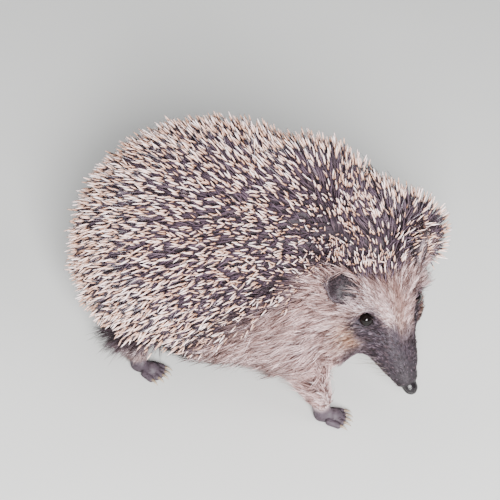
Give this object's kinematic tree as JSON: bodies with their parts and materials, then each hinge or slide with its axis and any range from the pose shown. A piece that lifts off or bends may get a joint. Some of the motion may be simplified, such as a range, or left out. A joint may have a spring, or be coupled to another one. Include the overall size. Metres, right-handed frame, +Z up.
{
  "type": "european hedgehog",
  "caption": "Still life-size hedgehog standing with its back hunched and its head turned down to its right, spiny coat, furry face and skirt.",
  "frame": {"origin": "middle of the box of the whole animal in plan, on the floor under it", "axes": "+X forwards from rump to breast, +Y to the animal's left, +Z up"},
  "size_m": [0.1872, 0.1256, 0.1227],
  "materials": {
    "spiny_coat": "banded cream and dark brown spines, satin",
    "fur": "coarse grey-brown fur, matt",
    "bare_skin": "dark bare skin, satin",
    "nose": "wet black, glossy",
    "eye": "polished black"
  },
  "bodies": {
    "root": {"trunk": "spiny_coat", "neck": "spiny_coat", "head": "fur", "tail": "bare_skin", "nose": "nose", "eye_left": "eye", "eye_right": "eye", "ear_left": "bare_skin", "ear_right": "bare_skin", "leg_front_left": "fur", "leg_front_right": "fur", "leg_hind_left": "fur", "leg_hind_right": "fur", "foot_front_left": "bare_skin", "foot_front_right": "bare_skin", "foot_hind_left": "bare_skin", "foot_hind_right": "bare_skin"}
  },
  "joints": []
}
